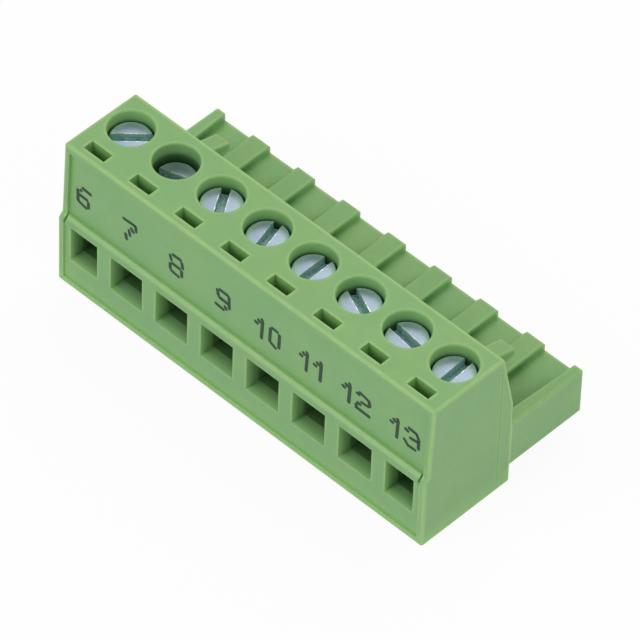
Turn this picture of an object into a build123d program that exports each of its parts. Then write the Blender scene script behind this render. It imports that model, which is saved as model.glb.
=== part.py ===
"""Pluggable screw terminal block with eight poles at 5.08 mm pitch.

Millimetres. X runs along the row of poles, Y from the wire entries at the front to the plug end at
the back, Z up. The origin is the middle of the footprint, on the surface that the block stands on.
"""
from build123d import *
import os

# Row of poles and overall envelope
POLE_COUNT = 8
PITCH = 5.08
HEIGHT = 15.0
BODY_DEPTH = 10.0
PLUG_REACH = 8.2

# Side outline of the terminal body
LOWER_FRONT_HEIGHT = 7.05
LEDGE_RISE = 0.49
LEDGE_SETBACK = 0.42
TOP_FRONT_SETBACK = 0.72
TOP_REAR_SETBACK = 1.35
REAR_SLANT_HEIGHT = 9.0
EDGE_ROUND = 0.2
BASE_ROUND = 0.1
SOFT_EDGE = 0.15
SEAM_CHAMFER = 0.05

# Framed front face
RIM_WIDTH = 0.6
PANEL_INSET = 0.15
PANEL_TOP_MARGIN = 0.15
LABEL_INSET = 0.25
LABEL_TOP_MARGIN = 0.75
NOTCH_WIDTH = 0.2
NOTCH_DEPTH = 1.0

# Wire entries: a funnel at the front, then a straight throat into the wire space
ENTRY_WIDTH = 3.55
ENTRY_BOTTOM = 2.95
ENTRY_TOP = 6.58
END_ENTRY_MARGIN = 1.3
FUNNEL_DEPTH = 1.3
THROAT_NARROWING = 0.27
THROAT_BOTTOM = 3.35
THROAT_HEADROOM = 0.05

# Test slots in the top face
TEST_SLOT_LENGTH = 2.25
TEST_SLOT_WIDTH = 1.03
TEST_SLOT_FRONT = 1.45
TEST_SLOT_DRAFT = 0.14
TEST_SLOT_DEPTH = 7.6
TEST_WINDOW_HEIGHT = 1.2

# Where the two housings meet
SEAM_DEPTH = 8.5
BOTTOM_WALL = 1.3
TOP_LAP = 1.4

# Clamp space of each pole
CHAMBER_WIDTH = 4.16
CHAMBER_FRONT = 3.4
CHAMBER_HEADROOM = 0.5
SCREW_AXIS_DEPTH = 5.65

# Clamp cage, a sleeve round the wire space with a threaded top
CAGE_SIDE_CLEARANCE = 0.08
CAGE_LENGTH = 4.0
CAGE_SIDE_WALL = 0.5
CAGE_BASE = 0.8
CAGE_TOP = 1.8
CAGE_ROUND = 0.35
WIRE_GAP = 2.8
CAGE_STOP_CLEARANCE = 0.05

# Contact, a current bar that ends in a spring fork
BAR_UNDERSIDE = 5.9
BAR_THICKNESS = 0.7
BAR_SIDE_CLEARANCE = 0.1
BAR_TOP_CLEARANCE = 0.1
BAR_FRONT_CLEARANCE = 0.1
CONTACT_SEAT_DEPTH = 1.0
CONTACT_SEAT_CLEARANCE = 0.05
PIN_HEIGHT = 3.85
TAIL_WIDTH = 1.6
TAIL_LENGTH = 1.4
FORK_WIDTH = 2.6
FORK_HEIGHT = 1.6
FORK_LENGTH = 5.4
FORK_SHEET = 0.35
FORK_GAP = 0.86
FORK_TIP = 1.0
FORK_FLARE = 0.3

# Clamp screw, M3
THREAD_DIAMETER = 3.0
THREAD_CLEARANCE = 0.05
HEAD_DIAMETER = 3.6
HEAD_HEIGHT = 1.7
HEAD_ROUND = 0.15
HEAD_BORE_CLEARANCE = 0.15
HEAD_STOP_CLEARANCE = 0.12
SLOT_WIDTH = 0.8
SLOT_DEPTH = 0.85
POINT_CHAMFER = 0.3
TIP_CLEARANCE = 0.05
UNSEATED_LIFT = 0.88
BORE_ROUND = 0.15
SEATED_POLES = (2,)
SLOT_ANGLES = (44, 18, 122, 105, 91, 156, 173, 93)

# Plug part at the back
PLUG_UNDERSIDE = 1.85
DECK_HEIGHT = 5.7
END_WALL_RISE = 0.87
END_WALL_TIP = 0.95
END_WALL_ROOT = 1.35
RIB_RISE = 0.75
RIB_WIDTH = 1.86
RIB_SLOPE_RUN = 0.58
PLUG_END_WALL = 0.8
CAVITY_WIDTH = 3.0
CAVITY_HEIGHT = 2.3
PIN_ENTRY = 1.7
PIN_ENTRY_LEAD = 0.35

# Locking lugs above the plug part
LUG_CENTRE_MARGIN = 4.55
LUG_WIDTH = 1.55
LUG_REACH = 4.15
LUG_UNDERSIDE = 8.45
LUG_TIP = 0.8
LUG_ROOT = 2.15

# Places that follow from the sizes above
ROW_WIDTH = POLE_COUNT * PITCH
FRONT = -(BODY_DEPTH + PLUG_REACH) / 2
BACK = FRONT + BODY_DEPTH
FAR_END = BACK + PLUG_REACH
SEAM = FRONT + SEAM_DEPTH
LAP_HEIGHT = HEIGHT - TOP_LAP
SCREW_AXIS = FRONT + SCREW_AXIS_DEPTH
LEDGE_HEIGHT = LOWER_FRONT_HEIGHT + LEDGE_RISE
SCREW_RADIUS = THREAD_DIAMETER / 2 - THREAD_CLEARANCE
HEAD_RADIUS = HEAD_DIAMETER / 2
BAR_TOP = BAR_UNDERSIDE + BAR_THICKNESS
CAGE_WIDTH = CHAMBER_WIDTH - 2 * CAGE_SIDE_CLEARANCE
CAGE_BOTTOM = BAR_UNDERSIDE - WIRE_GAP - CAGE_BASE
CAGE_PLATE = BAR_TOP + BAR_TOP_CLEARANCE
CAGE_HEIGHT = CAGE_PLATE + CAGE_TOP - CAGE_BOTTOM
CAGE_TRAVEL = WIRE_GAP - CAGE_STOP_CLEARANCE
CAGE_HIGHEST = CAGE_PLATE + CAGE_TOP + CAGE_TRAVEL
CHAMBER_TOP = CAGE_HIGHEST + CHAMBER_HEADROOM
BAR_WIDTH = CAGE_WIDTH - 2 * CAGE_SIDE_WALL - 2 * BAR_SIDE_CLEARANCE
CONTACT_SEAT = SEAM + CONTACT_SEAT_DEPTH
DROP_BACK = CONTACT_SEAT - CONTACT_SEAT_CLEARANCE
DROP_FRONT = DROP_BACK - BAR_THICKNESS
CAVITY_END = FAR_END - PLUG_END_WALL
SHANK_LENGTH = CAGE_HIGHEST + HEAD_STOP_CLEARANCE - BAR_TOP - TIP_CLEARANCE
POLES = range(1, POLE_COUNT + 1)


def pole_x(pole):
    """Middle of a pole, counted from 1 at the left end of the row."""
    return (pole - (POLE_COUNT + 1) / 2) * PITCH


def upright(y):
    """Plane that faces the front, with local axes along X and Z."""
    return Plane(origin=(0, y, 0), x_dir=(1, 0, 0), z_dir=(0, -1, 0))


def front_face(z):
    """Y of the leaning upper front at height z."""
    lean = (TOP_FRONT_SETBACK - LEDGE_SETBACK) / (HEIGHT - LEDGE_HEIGHT)
    return FRONT + LEDGE_SETBACK + (z - LEDGE_HEIGHT) * lean


def rear_face(z):
    """Y of the back of the body at height z."""
    lean = TOP_REAR_SETBACK / (HEIGHT - REAR_SLANT_HEIGHT)
    return BACK - max(0.0, z - REAR_SLANT_HEIGHT) * lean


def is_parting_edge(edge):
    """Whether an edge lies on the line, seen from outside, where the two housings meet."""
    middle = edge.center()
    on_lap = abs(middle.Z - LAP_HEIGHT) < SEAM_CHAMFER
    on_bottom_wall = abs(middle.Z - BOTTOM_WALL) < SEAM_CHAMFER
    if abs(middle.Y - SEAM) < SEAM_CHAMFER:
        return not (on_lap or on_bottom_wall)
    return middle.Y > SEAM and (on_lap or on_bottom_wall)


def entry_sides(pole):
    """Left and right edge of a wire entry; the outer edge of an end pole is held in."""
    reach = ROW_WIDTH / 2 - END_ENTRY_MARGIN
    left = max(pole_x(pole) - ENTRY_WIDTH / 2, -reach)
    right = min(pole_x(pole) + ENTRY_WIDTH / 2, reach)
    return left, right


def make_body_blank():
    """Main housing without its cavities, rounded along its outer edges."""
    with BuildPart() as blank:
        with BuildSketch(Plane.YZ):
            with BuildLine():
                Polyline(
                    (FRONT, 0),
                    (FRONT, LOWER_FRONT_HEIGHT),
                    (FRONT + LEDGE_SETBACK, LEDGE_HEIGHT),
                    (FRONT + TOP_FRONT_SETBACK, HEIGHT),
                    (rear_face(HEIGHT), HEIGHT),
                    (rear_face(LAP_HEIGHT), LAP_HEIGHT),
                    (SEAM, LAP_HEIGHT),
                    (SEAM, BOTTOM_WALL),
                    (BACK, BOTTOM_WALL),
                    (BACK, 0),
                    close=True,
                )
            make_face()
        extrude(amount=ROW_WIDTH / 2, both=True)
        ends = blank.faces().sort_by(Axis.X)
        outline = (ends[0].edges() + ends[-1].edges()).filter_by(
            lambda edge: edge.center().Y < SEAM - EDGE_ROUND
        )
        base = outline.filter_by(lambda edge: edge.center().Z < EDGE_ROUND)
        long_edges = blank.edges().filter_by(Axis.X)
        top_front = long_edges.group_by(Axis.Z)[-1].sort_by(Axis.Y)[0]
        fillet([edge for edge in outline if edge not in base] + [top_front], EDGE_ROUND)
        footing = blank.edges().group_by(Axis.Z)[0]
        fillet(footing.filter_by(lambda edge: edge.center().Y < SEAM - EDGE_ROUND), BASE_ROUND)
        rear_faces = blank.faces().filter_by(
            lambda face: face.center().Y > SEAM + SEAM_CHAMFER and abs(face.normal_at().Y) > 0.9
        )
        rear_edges = rear_faces.edges().filter_by(lambda edge: not is_parting_edge(edge))
        fillet(rear_edges, SOFT_EDGE)
        chamfer(blank.edges().filter_by(is_parting_edge), SEAM_CHAMFER)
    return blank.part


def make_front_frame():
    """Space in front of the set-in entry panel and label face, with a notch at each end of the ledge."""
    inner_width = ROW_WIDTH - 2 * RIM_WIDTH
    panel_top = LOWER_FRONT_HEIGHT - PANEL_TOP_MARGIN
    label_top = HEIGHT - LABEL_TOP_MARGIN
    with BuildPart() as front_frame:
        with BuildSketch(upright(FRONT)):
            with Locations((0, (RIM_WIDTH + panel_top) / 2)):
                Rectangle(inner_width, panel_top - RIM_WIDTH)
        extrude(amount=-PANEL_INSET)
        with BuildSketch(Plane.YZ):
            with BuildLine():
                Polyline(
                    (FRONT, LEDGE_HEIGHT),
                    (front_face(LEDGE_HEIGHT) + LABEL_INSET, LEDGE_HEIGHT),
                    (front_face(label_top) + LABEL_INSET, label_top),
                    (FRONT, label_top),
                    close=True,
                )
            make_face()
        extrude(amount=inner_width / 2, both=True)
        with BuildSketch(Plane.YZ.offset(inner_width / 2)):
            with BuildLine():
                Polyline(
                    (FRONT, LEDGE_HEIGHT - NOTCH_DEPTH),
                    (FRONT + PANEL_INSET, LEDGE_HEIGHT - NOTCH_DEPTH),
                    (front_face(LEDGE_HEIGHT) + LABEL_INSET, LEDGE_HEIGHT),
                    (FRONT, LEDGE_HEIGHT),
                    close=True,
                )
            make_face()
        notch = extrude(amount=-NOTCH_WIDTH)
        mirror(notch, about=Plane.YZ)
    return front_frame.part


def make_wire_entry(pole):
    """Space of one pole's funnel and of the throat behind it."""
    left, right = entry_sides(pole)
    throat_width = right - left - 2 * THROAT_NARROWING
    throat_top = BAR_UNDERSIDE - THROAT_HEADROOM
    middle = (left + right) / 2
    with BuildPart() as wire_entry:
        with BuildSketch(upright(FRONT + PANEL_INSET)):
            with Locations((middle, (ENTRY_BOTTOM + ENTRY_TOP) / 2)):
                Rectangle(right - left, ENTRY_TOP - ENTRY_BOTTOM)
        with BuildSketch(upright(FRONT + FUNNEL_DEPTH)) as throat:
            with Locations((middle, (THROAT_BOTTOM + throat_top) / 2)):
                Rectangle(throat_width, throat_top - THROAT_BOTTOM)
        loft()
        extrude(throat.sketch, amount=-(CHAMBER_FRONT - FUNNEL_DEPTH))
    return wire_entry.part


def make_test_slot(pole):
    """Space of one pole's tapered probe slot, with a window into the clamp space at its foot."""
    slot_y = FRONT + TEST_SLOT_FRONT + TEST_SLOT_WIDTH / 2
    foot = HEIGHT - TEST_SLOT_DEPTH
    foot_length = TEST_SLOT_LENGTH - 2 * TEST_SLOT_DRAFT
    foot_width = TEST_SLOT_WIDTH - 2 * TEST_SLOT_DRAFT
    with BuildPart() as test_slot:
        with BuildSketch(Plane.XY.offset(HEIGHT)):
            with Locations((pole_x(pole), slot_y)):
                Rectangle(TEST_SLOT_LENGTH, TEST_SLOT_WIDTH)
        with BuildSketch(Plane.XY.offset(foot)):
            with Locations((pole_x(pole), slot_y)):
                Rectangle(foot_length, foot_width)
        loft()
        with BuildSketch(upright(slot_y)):
            with Locations((pole_x(pole), foot + TEST_WINDOW_HEIGHT / 2)):
                Rectangle(foot_length, TEST_WINDOW_HEIGHT)
        extrude(amount=-(FRONT + CHAMBER_FRONT - slot_y))
    return test_slot.part


def make_main_housing():
    """Front moulding: one clamp space, wire entry, test slot and screw bore for each pole."""
    chamber_depth = SEAM_DEPTH - CHAMBER_FRONT
    blank = make_body_blank()
    spaces = [make_front_frame()]
    for pole in POLES:
        spaces += [make_wire_entry(pole), make_test_slot(pole)]
    with BuildPart() as main_housing:
        add(blank)
        add(spaces, mode=Mode.SUBTRACT)
        with BuildSketch(Plane.XY.offset(BOTTOM_WALL)):
            with Locations((0, SEAM - chamber_depth / 2)):
                with GridLocations(PITCH, 0, POLE_COUNT, 1):
                    Rectangle(CHAMBER_WIDTH, chamber_depth)
        extrude(amount=CHAMBER_TOP - BOTTOM_WALL, mode=Mode.SUBTRACT)
        with BuildSketch(Plane.XY.offset(HEIGHT)):
            with Locations((0, SCREW_AXIS)):
                with GridLocations(PITCH, 0, POLE_COUNT, 1):
                    Circle(HEAD_RADIUS + HEAD_BORE_CLEARANCE)
        extrude(amount=-(HEIGHT - CHAMBER_TOP), mode=Mode.SUBTRACT)
        bore_rims = main_housing.edges().filter_by(GeomType.CIRCLE).filter_by(
            lambda edge: edge.radius > HEAD_RADIUS and edge.center().Z > HEIGHT - SOFT_EDGE
        )
        fillet(bore_rims, BORE_ROUND)
    return main_housing


def make_end_walls():
    """Walls at both ends of the plug part, thicker where they meet the body."""
    outer = ROW_WIDTH / 2
    root = BACK - SOFT_EDGE
    with BuildPart() as end_walls:
        with BuildSketch(Plane.XY.offset(DECK_HEIGHT)):
            with BuildLine():
                Polyline(
                    (outer, root),
                    (outer, FAR_END),
                    (outer - END_WALL_TIP, FAR_END),
                    (outer - END_WALL_ROOT, root),
                    close=True,
                )
            make_face()
            mirror(about=Plane.YZ)
        extrude(amount=END_WALL_RISE)
        crests = end_walls.edges().group_by(Axis.Z)[-1].filter_by(
            lambda edge: edge.center().Y > BACK + SOFT_EDGE
        )
        corners = end_walls.edges().filter_by(Axis.Z).group_by(Axis.Y)[-1]
        fillet(crests + corners, SOFT_EDGE)
    return end_walls.part


def make_rib(gap):
    """Rib on the deck between a pole and the next, with one sloped side."""
    middle = (pole_x(gap) + pole_x(gap + 1)) / 2
    half = RIB_WIDTH / 2
    rib_top = DECK_HEIGHT + RIB_RISE
    with BuildPart() as rib:
        with BuildSketch(upright(BACK)):
            with BuildLine():
                Polyline(
                    (middle - half - RIB_SLOPE_RUN, DECK_HEIGHT),
                    (middle - half, rib_top),
                    (middle + half, rib_top),
                    (middle + half, DECK_HEIGHT),
                    close=True,
                )
            make_face()
        extrude(amount=-PLUG_REACH)
        crests = rib.edges().group_by(Axis.Z)[-1].filter_by(
            lambda edge: edge.center().Y > BACK + SOFT_EDGE
        )
        fillet(crests, SOFT_EDGE)
    return rib.part


def make_lug(side):
    """Wedge lug on the back of the body that locks over the mating header; side is -1 or 1."""
    root_top = LUG_UNDERSIDE + LUG_ROOT
    root = rear_face(root_top) - SOFT_EDGE
    tip = BACK + LUG_REACH
    with BuildPart() as lug:
        with BuildSketch(Plane.YZ.offset(side * (ROW_WIDTH / 2 - LUG_CENTRE_MARGIN))):
            with BuildLine():
                Polyline(
                    (root, LUG_UNDERSIDE),
                    (tip, LUG_UNDERSIDE),
                    (tip, LUG_UNDERSIDE + LUG_TIP),
                    (root, root_top),
                    close=True,
                )
            make_face()
        extrude(amount=LUG_WIDTH / 2, both=True)
        crown = lug.edges().filter_by(lambda edge: edge.center().Z > LUG_UNDERSIDE + LUG_TIP / 2)
        soft = crown.filter_by(lambda edge: edge.center().Y > root + SOFT_EDGE)
        fillet(soft, SOFT_EDGE)
    return lug.part


def make_contact_space(pole):
    """Pocket for a contact's upright and cavity round its fork, open to the pin entry."""
    clearance = CONTACT_SEAT_CLEARANCE
    seat_bottom = PIN_HEIGHT - BAR_THICKNESS / 2 - clearance
    seat_top = BAR_TOP + clearance
    lead = PIN_ENTRY + 2 * PIN_ENTRY_LEAD
    x = pole_x(pole)
    with BuildPart() as contact_space:
        with BuildSketch(upright(SEAM)):
            with Locations((x, (seat_bottom + seat_top) / 2)):
                Rectangle(BAR_WIDTH + 2 * clearance, seat_top - seat_bottom)
        extrude(amount=-CONTACT_SEAT_DEPTH)
        with BuildSketch(upright(SEAM)):
            with Locations((x, PIN_HEIGHT)):
                Rectangle(CAVITY_WIDTH, CAVITY_HEIGHT)
        extrude(amount=-(CAVITY_END - SEAM))
        with BuildSketch(upright(CAVITY_END)):
            with Locations((x, PIN_HEIGHT)):
                Rectangle(PIN_ENTRY, PIN_ENTRY)
        extrude(amount=-PLUG_END_WALL)
        with BuildSketch(upright(FAR_END - PIN_ENTRY_LEAD)):
            with Locations((x, PIN_HEIGHT)):
                Rectangle(PIN_ENTRY, PIN_ENTRY)
        with BuildSketch(upright(FAR_END)):
            with Locations((x, PIN_HEIGHT)):
                Rectangle(lead, lead)
        loft()
    return contact_space.part


def make_plug_block():
    """Flange and plug part without ribs, walls and lugs, softened along the outer edges."""
    with BuildPart() as block:
        with BuildSketch(Plane.YZ):
            with BuildLine():
                Polyline(
                    (SEAM, BOTTOM_WALL),
                    (SEAM, LAP_HEIGHT),
                    (rear_face(LAP_HEIGHT), LAP_HEIGHT),
                    (BACK, REAR_SLANT_HEIGHT),
                    (BACK, DECK_HEIGHT),
                    (FAR_END, DECK_HEIGHT),
                    (FAR_END, PLUG_UNDERSIDE),
                    (BACK, PLUG_UNDERSIDE),
                    (BACK, BOTTOM_WALL),
                    close=True,
                )
            make_face()
        extrude(amount=ROW_WIDTH / 2, both=True)
        ends = block.faces().sort_by(Axis.X)
        outline = (ends[0].edges() + ends[-1].edges()).filter_by(
            lambda edge: edge.center().Y > SEAM + SEAM_CHAMFER
            and abs(edge.center().Z - DECK_HEIGHT) > SOFT_EDGE
            and not is_parting_edge(edge)
        )
        lower_far_edge = block.edges().filter_by(Axis.X).group_by(Axis.Y)[-1].sort_by(Axis.Z)[0]
        fillet(outline + [lower_far_edge], SOFT_EDGE)
        chamfer(block.edges().filter_by(is_parting_edge), SEAM_CHAMFER)
    return block.part


def make_plug_housing():
    """Rear moulding: the flange that closes the clamp spaces, the ribbed plug part and the lugs."""
    additions = [make_end_walls(), make_lug(-1), make_lug(1)]
    additions += [make_rib(gap) for gap in POLES[:-1]]
    spaces = [make_contact_space(pole) for pole in POLES]
    block = make_plug_block()
    with BuildPart() as plug_housing:
        add(block)
        add(additions)
        add(spaces, mode=Mode.SUBTRACT)
    return plug_housing


def make_clamp_screw(pole):
    """Slotted M3 screw, standing over the current bar; one screw is run down onto it."""
    lift = 0 if pole in SEATED_POLES else UNSEATED_LIFT
    tip = BAR_TOP + TIP_CLEARANCE + lift
    head_top = tip + SHANK_LENGTH + HEAD_HEIGHT
    x = pole_x(pole)
    with BuildPart() as clamp_screw:
        with BuildSketch(Plane.XY.offset(tip)):
            with Locations((x, SCREW_AXIS)):
                Circle(SCREW_RADIUS)
        extrude(amount=SHANK_LENGTH)
        point = clamp_screw.edges().sort_by(Axis.Z)[0]
        chamfer(point, POINT_CHAMFER)
        with BuildSketch(Plane.XY.offset(tip + SHANK_LENGTH)):
            with Locations((x, SCREW_AXIS)):
                Circle(HEAD_RADIUS)
        extrude(amount=HEAD_HEIGHT)
        crown = clamp_screw.edges().sort_by(Axis.Z)[-1]
        fillet(crown, HEAD_ROUND)
        with BuildSketch(Plane.XY.offset(head_top)):
            with Locations(Location((x, SCREW_AXIS, 0), (0, 0, SLOT_ANGLES[pole - 1]))):
                Rectangle(2 * HEAD_DIAMETER, SLOT_WIDTH)
        extrude(amount=-SLOT_DEPTH, mode=Mode.SUBTRACT)
    return clamp_screw


def make_clamp_cage(pole):
    """Square sleeve round the wire space, with a thick threaded top for the screw."""
    x = pole_x(pole)
    inner_height = CAGE_PLATE - CAGE_BOTTOM - CAGE_BASE
    with BuildPart() as clamp_cage:
        with BuildSketch(upright(SCREW_AXIS)):
            with Locations((x, CAGE_BOTTOM + CAGE_HEIGHT / 2)):
                RectangleRounded(CAGE_WIDTH, CAGE_HEIGHT, CAGE_ROUND)
            with Locations((x, CAGE_BOTTOM + CAGE_BASE + inner_height / 2)):
                Rectangle(CAGE_WIDTH - 2 * CAGE_SIDE_WALL, inner_height, mode=Mode.SUBTRACT)
        extrude(amount=CAGE_LENGTH / 2, both=True)
        with BuildSketch(Plane.XY.offset(CAGE_PLATE)):
            with Locations((x, SCREW_AXIS)):
                Circle(THREAD_DIAMETER / 2)
        extrude(amount=CAGE_TOP, mode=Mode.SUBTRACT)
    return clamp_cage


def make_contact(pole):
    """Current bar over the wire space, stepped down to a spring fork for the header pin."""
    x = pole_x(pole)
    bar_front = FRONT + CHAMBER_FRONT + BAR_FRONT_CLEARANCE
    tail_bottom = PIN_HEIGHT - BAR_THICKNESS / 2
    tail_top = PIN_HEIGHT + BAR_THICKNESS / 2
    fork_root = DROP_BACK + TAIL_LENGTH
    with BuildPart() as contact:
        with BuildSketch(Plane.YZ.offset(x)):
            with BuildLine():
                Polyline(
                    (bar_front, BAR_UNDERSIDE),
                    (DROP_FRONT, BAR_UNDERSIDE),
                    (DROP_FRONT, tail_bottom),
                    (DROP_BACK, tail_bottom),
                    (DROP_BACK, BAR_TOP),
                    (bar_front, BAR_TOP),
                    close=True,
                )
            make_face()
        extrude(amount=BAR_WIDTH / 2, both=True)
        with BuildSketch(Plane.XY.offset(tail_bottom)):
            with Locations((x, (DROP_BACK + fork_root) / 2)):
                Rectangle(TAIL_WIDTH, fork_root - DROP_BACK)
        extrude(amount=tail_top - tail_bottom)
        with BuildSketch(Plane.XY.offset(PIN_HEIGHT)):
            with BuildLine():
                add_fork_outline(x, fork_root)
            make_face()
        extrude(amount=FORK_HEIGHT / 2, both=True)
    return contact


def add_fork_outline(x, root):
    """Plan of the fork: a folded sheet whose two springs close on the pin and flare at the tip."""
    outer = FORK_WIDTH / 2
    inner = outer - FORK_SHEET
    pinch = FORK_GAP / 2
    tip = root + FORK_LENGTH
    bend = tip - FORK_TIP
    shoulder = root + FORK_SHEET
    right = [
        (outer, root),
        (outer, shoulder),
        (pinch + FORK_SHEET, bend),
        (pinch + FORK_SHEET + FORK_FLARE, tip),
        (pinch + FORK_FLARE, tip),
        (pinch, bend),
        (inner, shoulder),
    ]
    left = [(-across, along) for across, along in reversed(right)]
    Polyline(*[(x + across, along) for across, along in right + left], close=True)


def make_all():
    """Every piece of the block, by the name of its file."""
    pieces = {"main_housing": make_main_housing(), "plug_housing": make_plug_housing()}
    for pole in POLES:
        pieces[f"clamp_screw_{pole}"] = make_clamp_screw(pole)
        pieces[f"clamp_cage_{pole}"] = make_clamp_cage(pole)
        pieces[f"contact_{pole}"] = make_contact(pole)
    return pieces


os.makedirs("parts", exist_ok=True)
for name, piece in make_all().items():
    piece.part.label = name
    export_step(piece.part, f"parts/{name}.step")
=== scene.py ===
"""Looks of an eight-pole pluggable terminal block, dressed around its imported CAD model.

The row frame is the CAD's: metres, X along the poles, Y from the wire entries to the plug end,
Z up. Sizes below are in millimetres unless their name says otherwise, and MM turns them to metres.
"""
import math

import bmesh
import bpy
import numpy as np
from mathutils import Matrix, Vector


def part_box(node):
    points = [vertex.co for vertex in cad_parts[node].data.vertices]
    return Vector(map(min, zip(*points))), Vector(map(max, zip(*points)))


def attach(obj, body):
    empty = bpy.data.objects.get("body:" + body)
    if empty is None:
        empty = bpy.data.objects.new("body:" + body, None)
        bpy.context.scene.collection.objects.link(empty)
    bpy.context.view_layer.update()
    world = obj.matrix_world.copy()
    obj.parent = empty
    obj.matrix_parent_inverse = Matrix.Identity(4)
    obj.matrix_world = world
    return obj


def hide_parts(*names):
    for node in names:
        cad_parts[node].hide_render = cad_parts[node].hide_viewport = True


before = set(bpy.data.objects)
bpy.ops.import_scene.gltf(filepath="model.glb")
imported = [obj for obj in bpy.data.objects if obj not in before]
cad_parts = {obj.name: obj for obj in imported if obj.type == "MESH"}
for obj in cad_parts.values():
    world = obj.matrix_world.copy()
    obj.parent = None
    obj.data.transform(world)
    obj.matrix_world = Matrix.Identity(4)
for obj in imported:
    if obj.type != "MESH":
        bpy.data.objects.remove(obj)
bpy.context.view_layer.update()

MM = 0.001
POLES = range(1, 9)
HOUSING_NODES = ("main_housing", "plug_housing")

# Planes of the housing, as in the CAD
SEAM = -0.6
HALF_ROW = 20.32
BODY_TOP = 15.0
BODY_FRONT = -9.1
BODY_REAR = 0.9
LEDGE_FOOT = 7.05
LEDGE_TOP = 7.54
LEDGE_DEPTH = 0.42
LABEL_LEAN = 0.0402
REAR_SLANT_FOOT = 9.0
REAR_SLANT = 0.225

# Camera, in the photograph's place
CAMERA_PLACE = (285.040, -309.412, 456.556)
CAMERA_RIGHT = (0.716719, 0.696899, 0.025414)
CAMERA_UP = (-0.523335, 0.513418, 0.680090)
CAMERA_LENS = 435.57
SENSOR_WIDTH = 36.0

# Clamp screws, M3 with a slotted cheese head
HEAD_HEIGHT = 1.7
HEAD_ROUND = 0.15
HEAD_CHAMFER = 0.06
CROWN_STEPS = 6
SLOT_WIDTH = 0.8
SLOT_DEPTH = 0.85
SLOT_ANGLES = (44, 18, 122, 105, 91, 156, 173, 93)
SLOT_EDGE = 0.03
THREAD_RADIUS = 1.45
THREAD_DEPTH = 0.27
THREAD_PITCH = 0.5
THREAD_RELIEF = 0.4
THREAD_FLANKS = 0.8
POINT_HEIGHT = 0.3
POINT_TAPER = 0.15
RING_STEPS = 64
ROWS_PER_TURN = 8

# Printed pole numbers
FIRST_NUMBER = 6
NUMBER_STARTS = (-1.08, -1.0, -0.86, -0.74, -1.52, -1.69, -2.12, -2.01)
NUMBER_BASE = 9.24
DIGIT_ADVANCE = 1.52
STROKE_WIDTH = 0.35
DIGIT_STRETCH = 0.94
INK_PROUD = 0.012
INK_BACK = 0.03
DIGIT_STROKES = {
    "0": (((0.1, 0.3), (0.1, 1.75)), ((0.3, 2.0), (0.85, 1.95)), ((1.1, 1.72), (1.1, 0.3)),
          ((0.3, 0.2), (0.75, 0.0))),
    "1": (((0.0, 1.38), (0.18, 1.34)), ((0.32, 1.78), (0.42, 1.7)),
          ((0.68, 2.08), (0.75, 1.9), (0.72, 0.0))),
    "2": (((0.0, 1.7), (0.2, 1.7)), ((0.3, 1.98), (1.12, 1.78)), ((1.28, 1.7), (1.4, 1.28)),
          ((0.55, 1.02), (1.22, 1.06)), ((0.16, 0.68), (0.38, 0.66)),
          ((0.0, 0.36), (0.02, 0.05), (1.4, 0.0))),
    "3": (((0.05, 1.68), (0.27, 1.62)), ((0.42, 2.05), (1.15, 1.97)), ((1.28, 1.85), (1.5, 1.38)),
          ((0.62, 1.03), (1.3, 1.14)), ((1.48, 1.2), (1.5, 0.45)),
          ((0.0, 0.43), (0.42, 0.02), (1.17, 0.06))),
    "6": (((0.0, 1.5), (0.06, 0.35)), ((0.56, 2.08), (1.38, 2.0)), ((0.36, 1.72), (0.34, 1.66)),
          ((0.3, 1.09), (1.02, 1.07)), ((0.2, 0.27), (0.98, 0.07)), ((1.22, 0.83), (1.24, 0.31))),
    "7": (((0.0, 2.1), (1.22, 2.14)), ((1.32, 2.1), (1.4, 1.6)), ((0.9, 1.52), (1.08, 1.3)),
          ((0.64, 1.14), (0.75, 0.65)), ((0.3, 0.46), (0.4, 0.0))),
    "8": (((0.0, 1.78), (0.15, 1.34)), ((0.05, 0.82), (0.08, 0.32)), ((0.33, 2.05), (1.12, 2.06)),
          ((0.32, 1.02), (1.1, 1.01)), ((0.25, 0.13), (1.02, 0.0)), ((1.3, 1.8), (1.42, 1.3)),
          ((1.33, 0.83), (1.36, 0.28))),
    "9": (((0.08, 1.8), (0.18, 1.28)), ((0.36, 2.0), (1.2, 1.97)), ((0.35, 1.1), (1.18, 1.04)),
          ((1.35, 1.83), (1.43, 0.6)), ((0.0, 0.12), (0.8, 0.04)), ((1.0, 0.48), (1.1, 0.3))),
}


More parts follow.
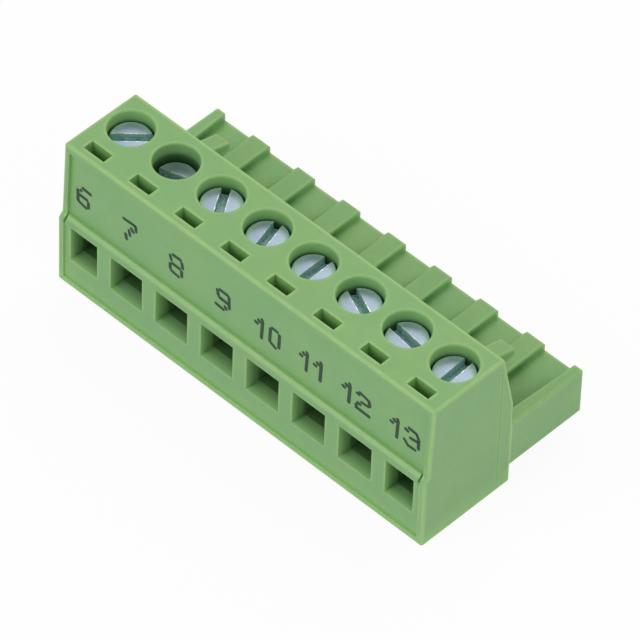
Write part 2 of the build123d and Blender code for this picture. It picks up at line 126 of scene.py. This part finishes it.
class Graph:
    """A material's node tree, with short calls for the nodes used here. Lengths are in millimetres."""

    def __init__(self, name):
        self.material = bpy.data.materials.new(name)
        self.material.use_nodes = True
        self.tree = self.material.node_tree
        self.shader = self.tree.nodes["Principled BSDF"]
        coordinates = self.tree.nodes.new("ShaderNodeTexCoord")
        self.place = self.vector("SCALE", coordinates.outputs["Object"], scale=1 / MM)
        self.facing = coordinates.outputs["Normal"]

    def link(self, value, socket):
        if isinstance(value, bpy.types.NodeSocket):
            self.tree.links.new(value, socket)
        else:
            socket.default_value = value

    def vector(self, operation, first, second=None, scale=None):
        node = self.tree.nodes.new("ShaderNodeVectorMath")
        node.operation = operation
        self.link(first, node.inputs[0])
        if second is not None:
            self.link(second, node.inputs[1])
        if scale is not None:
            node.inputs["Scale"].default_value = scale
        return node.outputs["Value" if operation == "LENGTH" else "Vector"]

    def math(self, operation, first, second=0.0):
        node = self.tree.nodes.new("ShaderNodeMath")
        node.operation = operation
        self.link(first, node.inputs[0])
        self.link(second, node.inputs[1])
        return node.outputs[0]

    def product(self, first, *others):
        for other in others:
            first = self.math("MULTIPLY", first, other)
        return first

    def parts(self, vector):
        """The X, Y and Z outputs of a vector."""
        node = self.tree.nodes.new("ShaderNodeSeparateXYZ")
        self.link(vector, node.inputs[0])
        return tuple(node.outputs)

    def noise(self, size, detail=2.0, roughness=0.5, stretch=(1, 1, 1)):
        """Noise whose features are about size millimetres across, longer along a small stretch."""
        node = self.tree.nodes.new("ShaderNodeTexNoise")
        self.link(self.vector("MULTIPLY", self.place, stretch), node.inputs["Vector"])
        node.inputs["Scale"].default_value = 1 / size
        node.inputs["Detail"].default_value = detail
        node.inputs["Roughness"].default_value = roughness
        return node.outputs["Fac"]

    def band(self, value, low, high, start, end):
        """Maps low..high smoothly to start..end and holds it outside."""
        node = self.tree.nodes.new("ShaderNodeMapRange")
        node.interpolation_type = "SMOOTHSTEP"
        self.link(value, node.inputs["Value"])
        for name, number in (("From Min", low), ("From Max", high), ("To Min", start), ("To Max", end)):
            node.inputs[name].default_value = number
        return node.outputs["Result"]

    def mix(self, share, first, second):
        node = self.tree.nodes.new("ShaderNodeMix")
        node.data_type = "RGBA"
        self.link(share, node.inputs["Factor"])
        self.link(first, node.inputs["A"])
        self.link(second, node.inputs["B"])
        return node.outputs["Result"]

    def soft_edges(self, radius):
        node = self.tree.nodes.new("ShaderNodeBevel")
        node.samples = 4
        node.inputs["Radius"].default_value = radius * MM
        return node.outputs["Normal"]

    def openness(self, reach, inside=False):
        """Share of free directions within reach millimetres, outside or behind the surface."""
        node = self.tree.nodes.new("ShaderNodeAmbientOcclusion")
        node.inside = inside
        node.samples = 6
        node.inputs["Distance"].default_value = reach * MM
        return node.outputs["AO"]

    def bump(self, height, depth, normal=None):
        node = self.tree.nodes.new("ShaderNodeBump")
        node.inputs["Distance"].default_value = depth * MM
        self.link(height, node.inputs["Height"])
        if normal is not None:
            self.link(normal, node.inputs["Normal"])
        return node.outputs["Normal"]


def rgb(red, green, blue):
    return (red, green, blue, 1.0)


def body_measures(graph):
    """Places in mm on the terminal body: y, z, and the distances from its end planes, its front, its
    nearest outer plane and its nearest outer edge, which is the middle one of three plane distances."""
    x, y, z = graph.parts(graph.place)
    end = graph.math("SUBTRACT", HALF_ROW, graph.math("ABSOLUTE", x))
    level = graph.math("MINIMUM", z, graph.math("SUBTRACT", BODY_TOP, z))
    ledge = graph.band(z, LEDGE_FOOT, LEDGE_TOP, BODY_FRONT, BODY_FRONT + LEDGE_DEPTH)
    above_ledge = graph.math("MAXIMUM", 0.0, graph.math("SUBTRACT", z, LEDGE_TOP))
    front = graph.math("ADD", ledge, graph.math("MULTIPLY", above_ledge, LABEL_LEAN))
    from_front = graph.math("SUBTRACT", y, front)
    above_slant = graph.math("MAXIMUM", 0.0, graph.math("SUBTRACT", z, REAR_SLANT_FOOT))
    rear = graph.math("SUBTRACT", BODY_REAR, graph.math("MULTIPLY", above_slant, REAR_SLANT))
    from_rear = graph.math("SUBTRACT", rear, y)
    depth = graph.math("MINIMUM", from_front, from_rear)
    middle = graph.math("MAXIMUM", graph.math("MINIMUM", end, level),
                        graph.math("MINIMUM", graph.math("MAXIMUM", end, level), depth))
    behind_body = graph.band(from_rear, -0.10, -0.02, 9.0, 0.0)
    return {"y": y, "z": z, "end": end, "front": from_front,
            "plane": graph.math("MINIMUM", graph.math("MINIMUM", end, level), depth),
            "edge": graph.math("MAXIMUM", middle, behind_body)}


def painted_edge_highlights(graph, at):
    """Share of painted highlight, patchy: the body's outer edges, other convex edges, the ledge's crest,
    the rib slopes.
    """
    outer = graph.band(at["edge"], 0.03, 0.40, 0.72, 0.0)
    inner = graph.band(graph.openness(0.36, inside=True), 0.66, 0.94, 0.55, 0.0)
    from_seam = graph.math("ABSOLUTE", graph.math("SUBTRACT", at["y"], SEAM))
    seamless = graph.band(graph.band(from_seam, 0.2, 0.6, 0.0, 1.0), 0.0, 1.0, 0.35, 1.0)
    on_ledge = graph.product(graph.band(at["z"], 6.72, 6.85, 0.0, 1.0),
                             graph.band(at["z"], LEDGE_TOP, 7.60, 1.0, 0.0),
                             graph.band(at["plane"], 0.10, 0.25, 1.0, 0.0),
                             graph.band(at["end"], 0.30, 0.50, 0.0, 1.0))
    crest = graph.product(on_ledge, graph.band(at["z"], 7.16, 7.34, 0.0, 0.60))
    on_label = graph.math("MULTIPLY", graph.band(at["z"], 8.0, 9.0, 0.0, 1.0),
                          graph.band(at["front"], 0.25, 0.45, 1.0, 0.0))
    plain = graph.math("SUBTRACT", 1.0, graph.math("MAXIMUM", on_ledge, on_label))
    level_inner = graph.product(inner, seamless, plain)
    facing_x = graph.parts(graph.facing)[0]
    slope = graph.math("MULTIPLY", graph.band(facing_x, -0.87, -0.81, 0.0, 0.5),
                       graph.band(facing_x, -0.77, -0.70, 1.0, 0.0))
    patchy = graph.band(graph.noise(0.9, detail=3.0), 0.2, 0.6, 0.75, 1.0)
    strongest = graph.math("MAXIMUM", graph.math("MAXIMUM", outer, level_inner),
                           graph.math("MAXIMUM", crest, slope))
    return graph.math("MULTIPLY", strongest, patchy)


def painted_light_in_mouths(graph, at, openness, test_slots):
    """Share of painted light, a lighter green on the walls just inside a hole's mouth, further down in a
    test slot.
    """
    near_mouth = graph.math("MULTIPLY", graph.band(at["plane"], 0.05, 1.1, 1.0, 0.0),
                            graph.band(test_slots, 0.0, 1.0, 1.0, 0.0))
    in_test_slots = graph.math("MULTIPLY", test_slots, graph.band(at["plane"], 0.8, 3.6, 0.50, 0.0))
    return graph.product(graph.band(openness, 0.45, 0.80, 0.65, 0.0),
                         graph.math("ADD", near_mouth, in_test_slots),
                         graph.band(at["plane"], -0.10, 0.0, 0.0, 1.0))


def painted_shade_in_holes(graph, at, openness, high, bores):
    """Share of painted shade, a dark green deep in the wire entries, the test slots and the screw bores."""
    front_holes = graph.math("MULTIPLY", graph.band(openness, 0.28, 0.66, 0.96, 0.0),
                             graph.math("SUBTRACT", 1.0, high))
    top_holes = graph.math("MULTIPLY", graph.band(openness, 0.06, 0.30, 0.85, 0.0),
                           graph.band(bores, 0.0, 1.0, 0.32, 1.0))
    low_bores = graph.math("MULTIPLY", bores, graph.band(at["z"], 13.5, 14.15, 0.96, 0.0))
    upper = graph.math("MULTIPLY", graph.math("MAXIMUM", top_holes, low_bores), high)
    return graph.math("MULTIPLY", graph.math("ADD", front_holes, upper),
                      graph.band(at["plane"], 0.15, 0.75, 0.0, 1.0))


def painted_deck_shade(graph, at):
    """Share of painted shade, a deeper green where the plug part's deck meets the body and the end walls.
    """
    on_deck = graph.product(graph.band(at["y"], 1.2, 1.8, 0.0, 1.0),
                            graph.band(at["y"], 5.8, 8.1, 1.0, 0.0),
                            graph.band(at["z"], 5.2, 5.6, 0.0, 1.0),
                            graph.band(at["z"], 5.9, 6.4, 1.0, 0.0))
    return graph.math("MULTIPLY", on_deck, graph.band(graph.openness(8.0), 0.60, 0.87, 0.68, 0.0))


def housing_green():
    """Pale green polyamide from a finely eroded mould: satin and clouded, with painted highlights at edges,
    painted light in hole mouths, and painted shade in holes and deck corners.
    """
    graph = Graph("housing_green")
    tint = graph.band(graph.noise(4.5, detail=3.0), 0.35, 0.65, 0.0, 1.0)
    cloud = graph.band(graph.noise(1.1, detail=4.0, roughness=0.6), 0.3, 0.7, 0.0, 1.0)
    base = graph.mix(tint, rgb(0.200, 0.414, 0.150), rgb(0.222, 0.424, 0.144))
    speckle = graph.mix(graph.math("MULTIPLY", cloud, 0.4), base, rgb(0.188, 0.394, 0.140))
    at = body_measures(graph)
    # painted highlight: a paler yellow green along edges, on the ledge crest and on the rib slopes
    pale = graph.mix(painted_edge_highlights(graph, at), speckle, rgb(0.395, 0.610, 0.225))
    openness = graph.openness(3.5)
    high = graph.band(at["z"], 6.6, 6.9, 0.0, 1.0)
    bores = graph.band(at["y"], -6.2, -5.7, 0.0, 1.0)
    test_slots = graph.math("MULTIPLY", high, graph.math("SUBTRACT", 1.0, bores))
    # painted light: a lighter green just inside the mouths of holes
    lit = graph.mix(painted_light_in_mouths(graph, at, openness, test_slots), pale, rgb(0.350, 0.680, 0.190))
    # painted shade: darker green on the deck close to the body and the end walls
    open_parts = graph.mix(painted_deck_shade(graph, at), lit, rgb(0.020, 0.160, 0.020))
    # painted shade: dark green deep in the holes, where little light reaches
    color = graph.mix(painted_shade_in_holes(graph, at, openness, high, bores), open_parts,
                      rgb(0.026, 0.080, 0.014))
    graph.link(color, graph.shader.inputs["Base Color"])
    grain = graph.noise(0.10, detail=2.0)
    pits = graph.noise(0.45, detail=3.0, roughness=0.6)
    rubbed = graph.band(graph.noise(2.6, detail=5.0, roughness=0.65), 0.45, 0.75, 0.0, 1.0)
    rough = graph.math("ADD", graph.math("MULTIPLY", cloud, 0.07), 0.40)
    graph.link(graph.math("SUBTRACT", rough, graph.math("MULTIPLY", rubbed, 0.06)),
               graph.shader.inputs["Roughness"])
    graph.shader.inputs["Subsurface Weight"].default_value = 0.12
    graph.shader.inputs["Subsurface Radius"].default_value = (0.5, 1.0, 0.35)
    graph.shader.inputs["Subsurface Scale"].default_value = 0.35 * MM
    relief = graph.bump(grain, 0.005, graph.soft_edges(0.07))
    graph.link(graph.bump(pits, 0.008, relief), graph.shader.inputs["Normal"])
    return graph.material


def screw_zinc():
    """Blue zinc plate over turned steel: cloudy tint, faint rings and scratches, painted glints on edges.
    It is duller in the slot, with painted reflection and shade there, and takes a painted reflection of the
    housing's green close to the walls of a bore."""
    graph = Graph("screw_zinc")
    cloud = graph.band(graph.noise(0.7, detail=3.0, roughness=0.55), 0.3, 0.7, 0.0, 1.0)
    blued = graph.mix(cloud, rgb(0.215, 0.262, 0.400), rgb(0.255, 0.315, 0.455))
    stain = graph.band(graph.noise(0.5, detail=2.0, stretch=(1.0, 1.3, 1.0)), 0.52, 0.70, 0.0, 0.4)
    tint = graph.mix(stain, blued, rgb(0.245, 0.335, 0.385))
    scratch = graph.band(graph.noise(0.14, detail=3.0, stretch=(0.08, 1.0, 1.0)), 0.60, 0.72, 0.0, 1.0)
    radius = graph.vector("LENGTH", graph.vector("MULTIPLY", graph.place, (1, 1, 0)))
    rings = graph.math("SINE", graph.math("MULTIPLY", radius, 2 * math.pi / 0.12))
    marked = graph.mix(graph.math("MULTIPLY", scratch, 0.22), tint, rgb(0.60, 0.66, 0.72))
    worn = graph.band(graph.noise(0.22, detail=3.0), 0.35, 0.65, 0.0, 1.0)
    # painted glint: near-white spots on the convex edges of the head and slot
    edge = graph.band(graph.openness(0.10, inside=True), 0.62, 0.88, 1.0, 0.0)
    painted_glint = graph.math("MULTIPLY", edge, graph.band(graph.noise(0.5, detail=3.0), 0.50, 0.62, 0.1, 1.0))
    openness = graph.openness(0.9)
    shade = graph.band(openness, 0.50, 0.96, 1.0, 0.0)
    # painted reflection and shade: teal in the slot, a grey green where the disc meets the bore wall
    slot = graph.mix(worn, rgb(0.14, 0.39, 0.42), rgb(0.50, 0.74, 0.82))
    sunk = graph.mix(graph.band(openness, 0.46, 0.62, 0.0, 1.0), slot, rgb(0.42, 0.60, 0.44))
    # painted shade: near black where the slot runs into the dark gap by the bore wall
    painted_gap_shade = graph.band(openness, 0.08, 0.26, 0.95, 0.0)
    # painted reflection: the disc greener where a bore's walls stand close around it
    walled = graph.math("MULTIPLY", graph.band(graph.openness(2.6), 0.36, 0.53, 0.85, 0.0),
                        graph.band(shade, 0.0, 0.6, 1.0, 0.0))
    green_reflected = graph.mix(walled, marked, rgb(0.62, 0.88, 0.60))
    glinted = graph.mix(painted_glint, graph.mix(shade, green_reflected, sunk), rgb(0.90, 0.95, 0.95))
    graph.link(graph.mix(painted_gap_shade, glinted, rgb(0.020, 0.045, 0.040)), graph.shader.inputs["Base Color"])
    rough = graph.math("ADD", graph.math("MULTIPLY", cloud, 0.08), 0.30)
    graph.link(graph.math("ADD", rough, graph.math("MULTIPLY", shade, 0.20)),
               graph.shader.inputs["Roughness"])
    dull = graph.math("MAXIMUM", graph.math("MULTIPLY", shade, 0.88), walled)
    graph.link(graph.math("SUBTRACT", 1.0, dull), graph.shader.inputs["Metallic"])
    turned = graph.bump(rings, 0.0005)
    graph.link(graph.bump(scratch, 0.003, turned), graph.shader.inputs["Normal"])
    return graph.material


def plated_metal(name, light, dark, roughness):
    """Plated sheet or bar with long rolling marks and cloudy plating."""
    graph = Graph(name)
    cloud = graph.band(graph.noise(0.9, detail=3.0), 0.3, 0.7, 0.0, 1.0)
    marks = graph.noise(0.06, detail=3.0, stretch=(1.0, 0.08, 1.0))
    graph.link(graph.mix(cloud, dark, light), graph.shader.inputs["Base Color"])
    graph.link(graph.math("ADD", graph.math("MULTIPLY", marks, 0.16), roughness),
               graph.shader.inputs["Roughness"])
    graph.shader.inputs["Metallic"].default_value = 1.0
    graph.link(graph.bump(marks, 0.004, graph.soft_edges(0.05)), graph.shader.inputs["Normal"])
    return graph.material


def pole_print():
    """Dark ink, thin where it has run dry."""
    graph = Graph("pole_print")
    worn = graph.band(graph.noise(0.16, detail=3.0, roughness=0.6), 0.45, 0.72, 0.0, 1.0)
    graph.link(graph.mix(graph.math("MULTIPLY", worn, 0.6), rgb(0.010, 0.038, 0.015),
                         rgb(0.046, 0.115, 0.050)), graph.shader.inputs["Base Color"])
    graph.link(graph.math("ADD", graph.math("MULTIPLY", worn, 0.15), 0.6),
               graph.shader.inputs["Roughness"])
    graph.link(graph.bump(worn, 0.004), graph.shader.inputs["Normal"])
    return graph.material


def thread_radius(turn, height, low, high):
    """Radius of a right-hand thread at a turn (0 to 1) and height, fading out at both ends."""
    phase = (height / THREAD_PITCH - turn) % 1.0
    flank = min(abs(phase - 0.5) * 2 / THREAD_FLANKS, 1.0)
    fade = max(0.0, min(1.0, (height - low) / THREAD_PITCH + 0.5, (high - height) / THREAD_PITCH))
    return THREAD_RADIUS - THREAD_DEPTH * (1 - flank * fade)


def screw_rings(length, head_radius):
    """Rings of the screw from its point to its crown, as lists of (radius, height) per ring step."""
    shank = length - HEAD_HEIGHT
    relief = shank - THREAD_RELIEF
    root = THREAD_RADIUS - THREAD_DEPTH
    rows = int(round((relief - POINT_HEIGHT) / THREAD_PITCH * ROWS_PER_TURN))
    rings = [[(root - POINT_TAPER, 0.0)] * RING_STEPS]
    for row in range(rows + 1):
        height = POINT_HEIGHT + (relief - POINT_HEIGHT) * row / rows
        rings.append([(thread_radius(step / RING_STEPS, height, POINT_HEIGHT, relief), height)
                      for step in range(RING_STEPS)])
    outline = [(root, shank), (head_radius - HEAD_CHAMFER, shank), (head_radius, shank + HEAD_CHAMFER)]
    for part in range(CROWN_STEPS + 1):
        angle = math.radians(90 * part / CROWN_STEPS)
        outline.append((head_radius - HEAD_ROUND * (1 - math.cos(angle)),
                        length - HEAD_ROUND * (1 - math.sin(angle))))
    return rings + [[point] * RING_STEPS for point in outline]


def lathe(rings):
    """Closed mesh through rings of (radius, height) points around the Z axis."""
    shape = bmesh.new()
    loops = []
    for ring in rings:
        loops.append([
            shape.verts.new((radius * MM * math.cos(2 * math.pi * step / RING_STEPS),
                             radius * MM * math.sin(2 * math.pi * step / RING_STEPS), height * MM))
            for step, (radius, height) in enumerate(ring)
        ])
    for lower, upper in zip(loops, loops[1:]):
        for step in range(RING_STEPS):
            after = (step + 1) % RING_STEPS
            shape.faces.new((lower[step], lower[after], upper[after], upper[step]))
    shape.faces.new(reversed(loops[0]))
    shape.faces.new(loops[-1])
    return shape


def new_object(name, shape):
    mesh = bpy.data.meshes.new(name)
    shape.to_mesh(mesh)
    shape.free()
    piece = bpy.data.objects.new(name, mesh)
    bpy.context.scene.collection.objects.link(piece)
    return piece


def applied(piece):
    """The piece's mesh with its modifiers applied, in place of the old one."""
    mesh = bpy.data.meshes.new_from_object(piece.evaluated_get(bpy.context.evaluated_depsgraph_get()))
    piece.modifiers.clear()
    old, piece.data = piece.data, mesh
    bpy.data.meshes.remove(old)
    return piece


def cut_slot(piece, length, angle):
    """Cuts the driver slot across the head."""
    shape = bmesh.new()
    bmesh.ops.create_cube(shape, size=1.0)
    bmesh.ops.scale(shape, vec=(8 * MM, SLOT_WIDTH * MM, 2 * SLOT_DEPTH * MM), verts=shape.verts)
    turn = Matrix.Translation((0, 0, length * MM)) @ Matrix.Rotation(math.radians(angle), 4, "Z")
    bmesh.ops.transform(shape, matrix=turn, verts=shape.verts)
    cutter = new_object("slot_cutter", shape)
    cut = piece.modifiers.new("slot", "BOOLEAN")
    cut.operation = "DIFFERENCE"
    cut.solver = "EXACT"
    cut.object = cutter
    applied(piece)
    bpy.data.objects.remove(cutter)


def soften_head(piece, length):
    """Breaks the sharp edges of the slot and the crown."""
    floor = (length - SLOT_DEPTH - SLOT_EDGE) * MM
    shape = bmesh.new()
    shape.from_mesh(piece.data)
    bmesh.ops.remove_doubles(shape, verts=shape.verts, dist=1e-7)
    sharp = [
        edge for edge in shape.edges
        if min(vertex.co.z for vertex in edge.verts) > floor and edge.is_manifold
        and edge.calc_face_angle(0.0) > math.radians(40)
    ]
    bmesh.ops.bevel(shape, geom=sharp, offset=SLOT_EDGE * MM, segments=2, affect="EDGES",
                    clamp_overlap=True)
    shape.to_mesh(piece.data)
    shape.free()


def make_screw(pole, material):
    """Threaded screw in the place of the plain one."""
    node = f"clamp_screw_{pole}"
    low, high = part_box(node)
    length = (high.z - low.z) / MM
    head_radius = (high.x - low.x) / MM / 2
    piece = new_object(f"threaded_screw_{pole}", lathe(screw_rings(length, head_radius)))
    cut_slot(piece, length, SLOT_ANGLES[pole - 1])
    soften_head(piece, length)
    piece.data.shade_smooth()
    piece.data.set_sharp_from_angle(angle=math.radians(35))
    piece.data.materials.clear()
    piece.data.materials.append(material)
    piece.location = ((low.x + high.x) / 2, (low.y + high.y) / 2, low.z)
    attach(piece, f"screw_{pole}")
    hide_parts(node)


def label_face():
    """Point and slope of the label face, found by two rays onto the main housing."""
    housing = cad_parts["main_housing"]
    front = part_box("main_housing")[0].y - MM
    hits = [housing.ray_cast((0, front, height * MM), (0, 1, 0))[1] for height in (9.0, 12.0)]
    slope = (hits[1].y - hits[0].y) / (hits[1].z - hits[0].z)
    return hits[0], slope


def stroke_outline(points, width):
    """Closed outline, counter-clockwise, of a stroke with round ends and mitred bends."""
    path = [Vector(point) for point in points]
    steps = [(after - before).normalized() for before, after in zip(path, path[1:])]
    left, right = [], []
    for index, point in enumerate(path):
        before, after = steps[max(index - 1, 0)], steps[min(index, len(steps) - 1)]
        across = (Vector((-before.y, before.x)) + Vector((-after.y, after.x))).normalized()
        reach = width / 2 / max(across.dot(Vector((-after.y, after.x))), 0.5)
        left.append(point + across * reach)
        right.append(point - across * reach)
    start = math.atan2(steps[0].y, steps[0].x)
    end = math.atan2(steps[-1].y, steps[-1].x)
    ends = []
    for centre, angle in ((path[-1], end - math.pi / 2), (path[0], start + math.pi / 2)):
        ends.append([centre + Vector((math.cos(angle + turn), math.sin(angle + turn))) * width / 2
                     for turn in (math.pi * part / 6 for part in range(1, 6))])
    return right + ends[0] + left[::-1] + ends[1]


def make_number(pole, material, face, slope):
    """Ink of one printed pole number, a hair proud of the label face."""
    rng = np.random.default_rng(pole)
    text = str(FIRST_NUMBER + pole - 1)
    node_low, node_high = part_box(f"contact_{pole}")
    pole_x = (node_low.x + node_high.x) / 2
    shape = bmesh.new()
    for place, digit in enumerate(text):
        start = NUMBER_STARTS[pole - 1] + place * DIGIT_ADVANCE
        for stroke in DIGIT_STROKES[digit]:
            outline = stroke_outline(stroke, STROKE_WIDTH * rng.uniform(0.92, 1.08))
            rims = []
            for depth in (INK_BACK, -INK_PROUD):
                rim = []
                for point in outline:
                    across = pole_x + (start + point.x) * MM
                    height = (NUMBER_BASE + point.y * DIGIT_STRETCH) * MM
                    rim.append(shape.verts.new(
                        (across, face.y + (height - face.z) * slope + depth * MM, height)))
                rims.append(rim)
            back, front = rims
            shape.faces.new(front)
            shape.faces.new(reversed(back))
            for index in range(len(outline)):
                after = (index + 1) % len(outline)
                shape.faces.new((back[index], back[after], front[after], front[index]))
    bmesh.ops.recalc_face_normals(shape, faces=shape.faces)
    piece = new_object(f"pole_number_{text}", shape)
    piece.data.materials.append(material)
    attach(piece, "housing")


def dress_nodes(names, material):
    for name in names:
        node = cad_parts[name]
        node.data.materials.clear()
        node.data.materials.append(material)


def seeing_rays(tree):
    """1 for rays that show the surroundings, directly, mirrored or through glass; 0 for rays that light."""
    rays = tree.nodes.new("ShaderNodeLightPath")
    seen = rays.outputs["Is Camera Ray"]
    for name in ("Is Glossy Ray", "Is Transmission Ray"):
        either = tree.nodes.new("ShaderNodeMath")
        either.operation = "MAXIMUM"
        tree.links.new(seen, either.inputs[0])
        tree.links.new(rays.outputs[name], either.inputs[1])
        seen = either.outputs[0]
    return seen


def make_floor():
    """Pale floor that reads as the white studio ground and keeps the block's shadow."""
    shape = bmesh.new()
    bmesh.ops.create_grid(shape, x_segments=1, y_segments=1, size=2.0)
    floor = new_object("studio_floor", shape)
    floor.location.z = -0.01 * MM
    material = bpy.data.materials.new("studio_floor")
    material.use_nodes = True
    tree = material.node_tree
    tree.nodes.clear()
    share = tree.nodes.new("ShaderNodeMath")
    share.operation = "MULTIPLY"
    tree.links.new(seeing_rays(tree), share.inputs[0])
    share.inputs[1].default_value = 0.93
    matt = tree.nodes.new("ShaderNodeBsdfDiffuse")
    matt.inputs["Color"].default_value = rgb(0.95, 0.95, 0.95)
    glow = tree.nodes.new("ShaderNodeEmission")
    glow.inputs["Color"].default_value = rgb(1.0, 1.0, 1.0)
    mixed = tree.nodes.new("ShaderNodeMixShader")
    output = tree.nodes.new("ShaderNodeOutputMaterial")
    tree.links.new(share.outputs[0], mixed.inputs["Fac"])
    tree.links.new(matt.outputs[0], mixed.inputs[1])
    tree.links.new(glow.outputs[0], mixed.inputs[2])
    tree.links.new(mixed.outputs[0], output.inputs["Surface"])
    floor.data.materials.append(material)


def make_world():
    """White surround: full white where it is seen or mirrored, softer as a light."""
    world = bpy.data.worlds.new("studio")
    world.use_nodes = True
    bpy.context.scene.world = world
    tree = world.node_tree
    back = tree.nodes["Background"]
    back.inputs["Color"].default_value = rgb(1.0, 1.0, 1.0)
    strength = tree.nodes.new("ShaderNodeMapRange")
    tree.links.new(seeing_rays(tree), strength.inputs["Value"])
    strength.inputs["To Min"].default_value = 0.59
    strength.inputs["To Max"].default_value = 1.0
    tree.links.new(strength.outputs["Result"], back.inputs["Strength"])


def make_light(name, place, size, glow, color):
    """Square softbox of the given radiance, its place and size in metres, aimed at the block."""
    lamp = bpy.data.lights.new(name, "AREA")
    lamp.shape = "SQUARE"
    lamp.size = size
    lamp.energy = glow * math.pi * size * size
    lamp.color = color
    light = bpy.data.objects.new(name, lamp)
    light.location = place
    light.rotation_euler = (Vector((0, 0, 0.008)) - Vector(place)).to_track_quat("-Z", "Y").to_euler()
    bpy.context.scene.collection.objects.link(light)


def make_camera():
    right, up = Vector(CAMERA_RIGHT), Vector(CAMERA_UP)
    turn = Matrix((right, up, right.cross(up))).transposed().to_4x4()
    data = bpy.data.cameras.new("camera")
    data.lens = CAMERA_LENS
    data.sensor_width = SENSOR_WIDTH
    data.clip_start = 0.01
    camera = bpy.data.objects.new("camera", data)
    camera.matrix_world = Matrix.Translation(Vector(CAMERA_PLACE) * MM) @ turn
    bpy.context.scene.collection.objects.link(camera)
    bpy.context.scene.camera = camera


make_camera()
make_world()
make_floor()
make_light("top_softbox", (-0.16, 0.48, 0.62), 0.60, 1.36, (1.0, 0.99, 0.66))
make_light("front_softbox", (-0.20, -0.55, 0.42), 0.34, 3.5, (0.84, 0.88, 1.0))
make_light("side_softbox", (0.60, -0.05, 0.38), 0.30, 2.0, (0.84, 0.88, 1.0))
bpy.context.scene.view_settings.view_transform = "Standard"

green = housing_green()
zinc = screw_zinc()
dress_nodes(HOUSING_NODES, green)
dress_nodes([f"clamp_cage_{pole}" for pole in POLES],
            plated_metal("cage_steel", rgb(0.55, 0.57, 0.60), rgb(0.40, 0.43, 0.47), 0.28))
dress_nodes([f"contact_{pole}" for pole in POLES],
            plated_metal("contact_tin", rgb(0.72, 0.70, 0.66), rgb(0.58, 0.57, 0.54), 0.30))
dress_nodes([f"clamp_screw_{pole}" for pole in POLES], zinc)

face, slope = label_face()
ink = pole_print()
for pole in POLES:
    make_screw(pole, zinc)
    make_number(pole, ink, face, slope)
